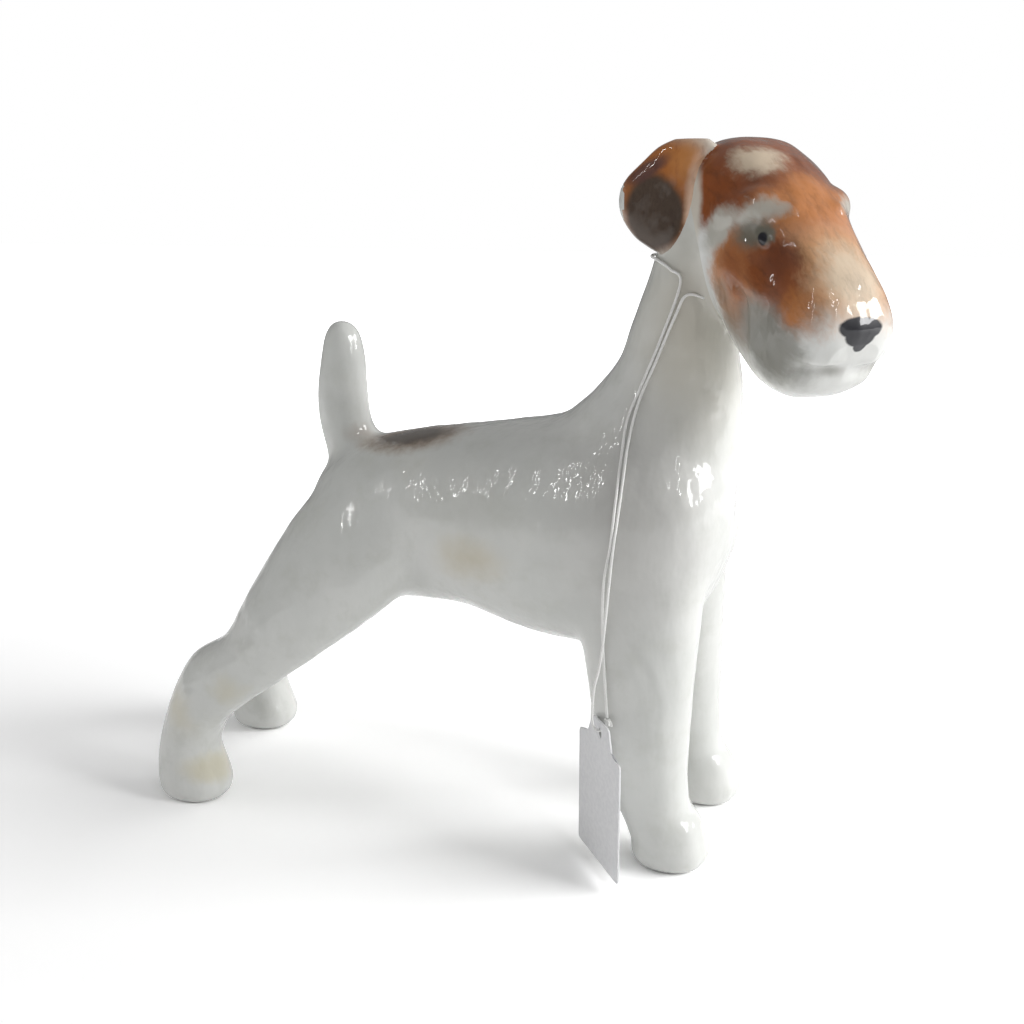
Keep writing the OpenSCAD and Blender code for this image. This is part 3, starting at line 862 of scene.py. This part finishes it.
def closed(shell):
    """The shell's points and faces, with a fan over each open rim round a point of its own."""
    faces = [tuple(f) if f[2] != f[3] else tuple(f[:3]) for f in shell.quads.tolist()]
    follow = {}
    for a, b in shell.rim():
        follow.setdefault(b, []).append(a)
    points = list(shell.points)
    while follow:
        loop = [next(iter(follow))]
        while loop[-1] in follow:
            after = follow[loop[-1]].pop()
            if not follow[loop[-1]]:
                del follow[loop[-1]]
            if after == loop[0]:
                break
            loop.append(after)
        if len(loop) < 3:
            continue
        points.append(shell.points[loop].mean(0))
        faces += [(i, j, len(points) - 1) for i, j in zip(loop, loop[1:] + loop[:1])]
    return np.array(points), faces


# ---- The castings ----
COARSE = 0.85
FINE = 0.42
BODY_LOW = (-116, -45, -4)
BODY_HIGH = (116, 46, 206)
HEAD_LOW = (38, -45, 134)
HEAD_HIGH = (116, 38, 205)
BODY_BAND = 11.0
HEAD_BAND = 9.0
SETTLE_ROUNDS = 3
SETTLE_REACH = 0.6
RELIEF_REACH = 0.35
# How deep in the head's and the ears' own fields they are cut off, and a value for the rest
HEAD_CUT = 0.9
EAR_CUT = 0.7
ELSEWHERE = 5.0


body_grid = Grid(BODY_LOW, BODY_HIGH, COARSE)
head_grid = Grid(HEAD_LOW, HEAD_HIGH, FINE)
body_field, _, _ = joined(body_grid, BODY_BAND, False)
head_field, head_only, ear_fields = joined(head_grid, HEAD_BAND, True)


def nearness(points):
    """1 deep inside the head's fine grid, easing to 0 at its lower edge."""
    inside = np.ones(len(points))
    for i in range(3):
        inside = inside * step(points[:, i], HEAD_LOW[i] + 1, HEAD_LOW[i] + 5)
        inside = inside * (1 - step(points[:, i], HEAD_HIGH[i] - 4, HEAD_HIGH[i] - 1))
    return inside


def blended(points, ask):
    """What ask gives for the body's grid, easing over to what it gives for the head's."""
    coarse, fine = ask(body_grid, body_field), ask(head_grid, head_field)
    return coarse + (nearness(points) * (fine - coarse).T).T


def distance(points):
    return blended(points, lambda grid, field: grid.sample(field, points))


def plain_normal(points):
    normal = blended(points, lambda grid, field: grid.slope(field, points))
    return normal / np.maximum(np.linalg.norm(normal, axis=1, keepdims=True), 1e-6)


def settled(points):
    """Points drawn onto the surface of the joined forms."""
    for _ in range(SETTLE_ROUNDS):
        away = np.clip(distance(points), -SETTLE_REACH, SETTLE_REACH)
        points = points - away[:, None] * plain_normal(points)
    return points


def height(points):
    """Relief above the plain form; the soles stay flat on the floor."""
    tall = relief(points) + toes(points)
    return tall * step(points[:, 2], 0.2, 2.5)


def modelled(points, normals):
    return points + height(points)[:, None] * normals


def modelled_normal(points, normals):
    """The normal of the surface with its relief, from the relief's slope."""
    tilt = slope(height, points, RELIEF_REACH)
    tilt -= (tilt * normals).sum(1, keepdims=True) * normals
    bent = normals - tilt
    return bent / np.linalg.norm(bent, axis=1, keepdims=True)


TAIL_UP = np.array([-math.sin(TAIL_TILT), 0, math.cos(TAIL_TILT)])
TAIL_CUT_AT = np.array([TAIL_X, 0, TAIL_SEAM]) + MIDDLE


# Each of these gives a value that is below 0 in its casting
def in_leg(pair, side):
    def value(p):
        low = np.maximum(p[:, 2] - pair.seam, -side * (p[:, 1] - MIDDLE[1]))
        return np.maximum(low, pair.way * (p[:, 0] - pair.bound))
    return value


def in_tail(p):
    return np.maximum(-(p - TAIL_CUT_AT) @ TAIL_UP, p[:, 0] - TAIL_BOUND)


def in_head(p):
    return np.where(nearness(p) > 0.5, head_grid.sample(head_only, p) - HEAD_CUT, ELSEWHERE)


def in_ear(which):
    def value(p):
        ear = head_grid.sample(ear_fields[which], p)
        skull = head_grid.sample(head_only, p)
        return np.maximum(np.where(nearness(p) > 0.5, ear - EAR_CUT, ELSEWHERE), ear - skull)
    return value


def make_castings():
    """The named shells of the castings, cut from the whole."""
    points, quads = body_grid.surface(body_field)
    whole = Shell(settled(points), quads)
    parts = {}
    cuts = {"ear_right": in_ear(0), "ear_left": in_ear(1), "head": in_head, "tail": in_tail,
            "foreleg_right": in_leg(FORE, RIGHT), "foreleg_left": in_leg(FORE, LEFT),
            "hindleg_right": in_leg(HIND, RIGHT), "hindleg_left": in_leg(HIND, LEFT)}
    for name, value in cuts.items():
        parts[name], whole = whole.parted(value)
    parts["torso"] = whole
    return parts


def finished(shell, finer):
    """The shell with its relief, and its normals. A finer one keeps the same rim as before."""
    points = modelled(shell.points, plain_normal(shell.points))
    if finer:
        rough = Shell(points, shell.quads).refined()
        shell = shell.refined()
        inner = np.ones(len(shell.points), bool)
        inner[[i for pair in shell.rim() for i in pair]] = False
        shell.points[inner] = settled(shell.points[inner])
        points = rough.points
        points[inner] = modelled(shell.points[inner], plain_normal(shell.points[inner]))
    normals = modelled_normal(shell.points, plain_normal(shell.points))
    return Shell(points, shell.quads), normals


# ---- Glazes ----
# Paint is laid on in soft strokes. A stroke is an ellipsoid of colour: middle, half sizes, how
# soft its edge is, its colour, how strongly it covers, and any turns about y and z in degrees
BROWN = (0.25, 0.066, 0.014)
DARK_BROWN = (0.13, 0.032, 0.010)
ORANGE = (0.50, 0.185, 0.050)
TAN = (0.60, 0.32, 0.15)
CREAM = (0.66, 0.54, 0.40)
# A grey of painted shade, for the lower muzzle and the mouth
MUZZLE_SHADE = (0.225, 0.22, 0.19)
# A grey brown of painted shade, under the jaw
JAW_SHADE = (0.20, 0.145, 0.095)
# A dark grey of painted shade, in the eye sockets
EYE_SOCKET_SHADE = (0.15, 0.145, 0.115)
BLACK = (0.01, 0.01, 0.015)
# The unpainted white brows darkened to grey: painted shade
BROW_IN_SHADE = (0.46, 0.45, 0.40)
GLAZE_WHITE = (0.70, 0.705, 0.68)
# A warm tint of the white, darkened as painted shade under the head
WARM_TINT_AND_SHADE = (0.57, 0.54, 0.46)
EAR_RIM = (0.56, 0.51, 0.44)

# The brushed colours, on both sides of the head
PATCHES = [
    ((0, 0, 16), (31, 40, 20), 0.18, BROWN, 1),
    ((30, 0, 14), (17, 40, 9), 0.45, ORANGE, 0.9, 22),
    ((44, 0, 9), (13, 40, 9.5), 0.5, TAN, 0.9, 24),
    ((26, -15, -4), (13, 8, 12.5), 0.3, ORANGE, 0.95, 25),
    ((24, -15, -3), (9, 8, 5), 0.7, BROWN, 0.7, 40),
    ((36, -12, 1.5), (14, 7, 9), 0.4, BROWN, 0.95, 20),
    ((33, -11, 6), (8, 6, 4.5), 0.7, DARK_BROWN, 0.7, 22),
    ((47, -9, 0), (7, 7, 6), 0.6, ORANGE, 0.9, 20),
    ((21, 0, 18), (8, 9, 4), 0.7, ORANGE, 0.8, 10),
    ((10, -9, 17), (9, 6, 4), 0.8, DARK_BROWN, 0.6),
    ((45.5, -1, 9.2), (11, 7.5, 4), 0.55, CREAM, 0.9, 24),
]
# The crown's pale patch sits right of its middle
CROWN = [((6, -7, 16.5), (6.4, 8.4, 4), 0.55, CREAM, 0.95, 0, -10)]
# Painted shade over the brushed colours: greys on the jaw, lower muzzle and round the eyes, and the
# unpainted brows and a warm white darkened
FACE = [
    ((22, -15.5, -11), (4, 5, 4), 0.6, JAW_SHADE, 0.6),
    ((30, -14, -15), (8, 7, 6), 0.6, JAW_SHADE, 0.7, -20),
    ((42, -11, -10.5), (14, 12, 8.5), 0.35, MUZZLE_SHADE, 0.95, 20),
    ((50, -12.5, -6.5), (5, 6, 4), 0.6, MUZZLE_SHADE, 0.8, 20),
    ((13, -16.3, 2), (4.2, 5, 7.5), 0.5, BROW_IN_SHADE, 0.95, 15),
    ((18.4, -12.5, 9.6), (8.2, 5, 3.7), 0.45, BROW_IN_SHADE, 0.95, -42, 20),
    ((23.4, -8.5, 13.4), (3.4, 3.2, 2), 0.5, BROW_IN_SHADE, 0.7, -20, 20),
    ((22.6, -14, 6.2), (6.2, 4, 4), 0.6, EYE_SOCKET_SHADE, 0.95, -40, 15),
    ((25.4, -12.5, 8), (3.4, 3, 2.6), 0.5, EYE_SOCKET_SHADE, 0.95, -35, 20),
    ((-9, -17, -6), (6.5, 7, 7), 0.3, WARM_TINT_AND_SHADE, 0.9),
]
NOSE = [
    ((55.5, -0.6, 2.3), (5, 6.2, 2.5), 0.1, BLACK, 1),
    ((56.5, -0.6, 0.6), (4, 4.2, 2.6), 0.12, BLACK, 1),
    ((57, -0.2, -1.2), (4, 1.9, 2.2), 0.15, BLACK, 1),
]
PUPIL = [((26, -13.6, 7.4), (1.75, 2, 1.75), 0.25, BLACK, 1)]
# Painted shade: grey in the mouth's groove under the upper lip
MOUTH = [((58, -4, -9.8), (5, 3.6, 1.8), 0.8, MUZZLE_SHADE, 0.7)]
# Ear space: out along the flap, through it and up it, from its root
VALLEY = [((1.6, 0, -1), (3.4, 12, 13), 0.4, (0.66, 0.62, 0.54), 0.95)]
EAR_STROKES = [
    ((9, 0, 4), (12.5, 30, 14.5), 0.25, (0.4, 0.135, 0.03), 1),
    ((3, 0, 12), (5, 30, 6), 0.8, (0.52, 0.22, 0.065), 0.8),
    ((11.2, 0, -1.2), (8.2, 30, 10.4), 0.2, (0.078, 0.052, 0.036), 1, 10),
    # The pale front rim of the flap: cream paint, lightened further by a painted highlight
    ((0.6, 0, -1), (2.9, 30, 13), 0.45, (0.74, 0.52, 0.38), 0.95),
    ((13.8, 0, 9.4), (7, 30, 2.2), 0.5, (0.1, 0.05, 0.045), 0.85, 30),
]


STREAK_TONE = 0.55
EDGE_OUTSIDE = 0.6


def lay(n, colour, space, strokes, streaks=None):
    """The colour with those strokes laid over it, each darker where its streaks are."""
    for middle, size, soft, shade, cover, *turns in strokes:
        if streaks:
            shade = n.mix(streaks, shade, [v * STREAK_TONE for v in shade])
        turn = [math.radians(v) for v in (0, *turns, 0, 0)[:3]]
        inside = n.into(space, middle, turn, size)
        amount = n.ramp(n.vector("LENGTH", inside), 1 - soft, 1 + soft * EDGE_OUTSIDE, cover, 0.0)
        colour = n.mix(amount, colour, shade)
    return colour


def wander(n, space, scale, amount, grain=(1, 1, 1)):
    """The space shifted about by noise, which the grain draws out into streaks."""
    drift = n.noise(n.stretch(space, grain), scale, 3.0, 0.6, colour=True)
    drift = n.vector("SUBTRACT", drift, (0.5, 0.5, 0.5))
    return n.vector("MULTIPLY_ADD", drift, (amount, amount, amount), space)


def fold(n, space):
    """The space with its left side folded onto its right."""
    parts = n.add("SeparateXYZ", {0: space}).outputs
    side = n.math("MULTIPLY", n.math("ABSOLUTE", parts["Y"]), -1.0)
    return n.add("CombineXYZ", {"X": parts["X"], "Y": side, "Z": parts["Z"]}).outputs["Vector"]


def space_at_skull(n, turn):
    """Space in millimetres from the middle of the skull, with that turn."""
    return n.into(n.place(), (SKULL_AT + MIDDLE) * MM, turn, (MM, MM, MM))


def ear_space(n):
    """Ear space in millimetres, for whichever ear is near."""
    space = fold(n, space_at_skull(n, (0, 0, -HEAD_TURN)))
    return n.into(space, (-1, -EAR_OUT, 0), (0, 0, -EAR_SPLAY), (1, 1, 1))


def glaze(n, colour):
    """The material with a clear glaze over the colour, and the ripple that glaze has."""
    ripple = n.noise(n.stretch(n.place(), (1.0, 1.0, 0.55)), 210.0, 2.0, 0.45)
    n.shade(Base_Color=colour, Roughness=0.45, Specular_IOR_Level=0.3, Coat_Weight=1.0,
            Coat_Roughness=0.025, Coat_IOR=1.5, Coat_Normal=n.bump(ripple, 0.0007),
            Normal=n.bump(ripple, 0.0003))
    return n.owner


# Stains and tints on the white body, and painted shade on the shoulder under the head
STAINS_AND_SHOULDER_SHADE = [
    ((4, -28, 103), (20, 14, 13), 0.9, (0.56, 0.565, 0.53), 0.6),
    ((2, -28, 87), (11, 12, 7), 0.8, (0.56, 0.5, 0.36), 0.6),
    ((-18, -28, 116), (10, 12, 7), 0.9, (0.57, 0.57, 0.5), 0.5),
    ((-84, -29, 12), (8, 12, 5), 0.7, (0.62, 0.57, 0.4), 0.6, 15),
    ((-92, -29, 31), (6, 9, 8), 0.8, (0.62, 0.57, 0.42), 0.55, -15),
    ((-74, -32, 41), (6, 8, 5), 0.8, (0.64, 0.6, 0.46), 0.5),
    # The neck under the head: a warm tint, darkened as painted shade
    ((62, -12, 152), (16, 22, 28), 0.9, WARM_TINT_AND_SHADE, 0.8),
    # Painted shade: the shoulder under the head darkened grey
    ((50, -26, 105), (22, 20, 32), 0.9, (0.5, 0.495, 0.475), 0.8, 10),
]
# The brown patch on the rump, before the tail
RUMP_PATCH = [
    ((-22, -5, 118), (20, 9.5, 6), 0.5, (0.3, 0.2, 0.13), 0.9, 0, 8),
    ((-23, -6, 119), (15, 6.5, 6), 0.5, (0.1, 0.085, 0.07), 0.95, 0, 8),
]


def painted_white():
    n = new_material("white_glaze")
    place = n.place()
    cloud = n.noise(place, 30.0, 3.0, 0.5)
    colour = n.mix(n.ramp(cloud, 0.35, 0.65), GLAZE_WHITE, (0.63, 0.64, 0.615))
    mottle = n.noise(place, 110.0, 4.0, 0.65)
    colour = n.mix(n.ramp(mottle, 0.45, 0.72, 0.0, 0.5), colour, (0.57, 0.58, 0.54))
    space = n.into(place, (0, 0, 0), (0, 0, 0), (MM, MM, MM))
    # Stains and tints, with the shoulder's painted shade
    colour = lay(n, colour, wander(n, space, 0.12, 8.0), STAINS_AND_SHOULDER_SHADE)
    return glaze(n, lay(n, colour, wander(n, space, 0.25, 5.0), RUMP_PATCH))


def painted_head():
    n = new_material("painted_head_glaze")
    space = space_at_skull(n, (0, HEAD_DIP, -HEAD_TURN))
    folded = fold(n, space)
    # The brush's hairs drag each patch's edge out along the nose and leave streaks in it
    grain = (0.3, 1.4, 1.4)
    hair = n.noise(n.stretch(wander(n, folded, 0.2, 4.0), (0.22, 1.0, 1.0)), 0.42, 3.0, 0.6)
    streaks = n.ramp(hair, 0.40, 0.75, 0.0, 0.6)
    colour = GLAZE_WHITE
    for under, drift, drag, strokes, streaked in (
            (folded, 6.0, 3.2, PATCHES, streaks), (space, 7.0, 3.2, CROWN, None),
            (folded, 5.0, 2.0, FACE, None)):
        brushed = wander(n, wander(n, under, 0.13, drift), 0.6, drag, grain)
        colour = lay(n, colour, brushed, strokes, streaked)
    colour = lay(n, colour, wander(n, ear_space(n), 0.2, 1.5), VALLEY)
    colour = lay(n, colour, wander(n, space, 0.6, 0.5), NOSE + MOUTH)
    return glaze(n, lay(n, colour, folded, PUPIL))


def painted_ear():
    n = new_material("painted_ear_glaze")
    space = ear_space(n)
    colour = lay(n, EAR_RIM, wander(n, space, 0.2, 1.6), EAR_STROKES)
    hair = n.noise(n.stretch(space, (0.5, 0.5, 0.2)), 1.2, 4.0, 0.6)
    return glaze(n, n.mix(n.ramp(hair, 0.45, 0.8, 0.0, 0.3), colour, BROWN, blend="MULTIPLY"))


# The materials, each paired with a slot name that is not used here
WHITE_GLAZE = (painted_white(), "white_porcelain")
HEAD_GLAZE = (painted_head(), "painted_head")
EAR_GLAZE = (painted_ear(), "painted_ear")
GLAZES = {"head": HEAD_GLAZE, "ear_right": EAR_GLAZE, "ear_left": EAR_GLAZE}


def dress_castings():
    for name, shell in make_castings().items():
        shell, outward = finished(shell, name in GLAZES)
        points, faces = closed(shell)
        material, slot = GLAZES.get(name, WHITE_GLAZE)
        casting = new_object("cast_" + name, points, faces, material)
        spare = len(points) - len(outward)
        outward = np.vstack([outward, np.tile([0, 0, 1.0], (spare, 1))])
        casting.data.normals_split_custom_set_from_vertices(outward.tolist())
        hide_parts(name)
        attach(casting, "figurine")


dress_castings()

# ---- Floor and light ----
FLOOR_HALF = 4000.0
WORLD_DIM = 0.05
WORLD_BRIGHT = 0.36
# The dome's bright side: right, above and behind
WORLD_TOWARD = (0.62, 0.42, 0.66)
# Name, place, target, width, height, power, and whether the glaze mirrors it
LAMPS = [
    ("key", (1.90, 0.20, 0.98), (0, 0, 0.1), 1.4, 0.9, 44.0, True),
    ("back", (0.55, 0.75, 0.70), (-0.03, 0, 0.1), 0.8, 0.6, 3.4, False),
    ("fill", (-0.90, -0.30, 0.26), (-0.08, 0, 0.06), 0.6, 0.4, 2.4, False),
    ("strip_left", (-0.45, -0.75, 0.75), (0, 0, 0.1), 0.010, 0.6, 0.8, True),
    ("strip_right", (0.55, -0.55, 0.85), (0, 0, 0.1), 0.010, 0.5, 0.6, True),
]


def make_floor():
    """A white floor, lifted to paper white for the camera as a cut-out photograph is."""
    n = new_material("floor")
    seen = n.seen()
    far = n.ramp(n.vector("LENGTH", n.place()), 0.26, 0.50)
    n.shade(Base_Color=n.mix(seen, (0.97, 0.97, 0.97), (1.25, 1.25, 1.25)), Roughness=1.0,
            Specular_IOR_Level=0.0, Emission_Color=(1, 1, 1),
            Emission_Strength=n.math("MULTIPLY", seen, far))
    corners = [[x * FLOOR_HALF, y * FLOOR_HALF, 0] for x, y in ((-1, -1), (1, -1), (1, 1), (-1, 1))]
    new_object("floor", corners, [(0, 1, 2, 3)], n.owner)


def area_light(name, at, target, width, height, power, mirrored):
    lamp = bpy.data.lights.new(name, "AREA")
    lamp.shape = "RECTANGLE"
    lamp.size = width
    lamp.size_y = height
    lamp.energy = power
    turn = (Vector(target) - Vector(at)).to_track_quat("-Z", "Y").to_euler()
    placed(name, lamp, at, turn).visible_glossy = mirrored


def make_world():
    """A dome that is dim on the camera's side, and paper white where the camera itself looks."""
    n = Nodes(bpy.data.worlds.new("studio"), "Background")
    way = n.add("TexCoord", {}).outputs["Generated"]
    level = n.ramp(n.vector("DOT_PRODUCT", way, WORLD_TOWARD), -0.5, 0.9, WORLD_DIM, WORLD_BRIGHT, "LINEAR")
    # Sockets 2 and 3 take the two numbers that are mixed
    strength = n.add("Mix", {0: n.seen(), 2: level, 3: 1.0}, data_type="FLOAT").outputs[0]
    n.shade(Color=(1, 1, 1), Strength=strength)
    bpy.context.scene.world = n.owner


make_floor()
make_world()
for settings in LAMPS:
    area_light(*settings)

bpy.context.scene.view_settings.view_transform = "Standard"

bpy.context.view_layer.update()
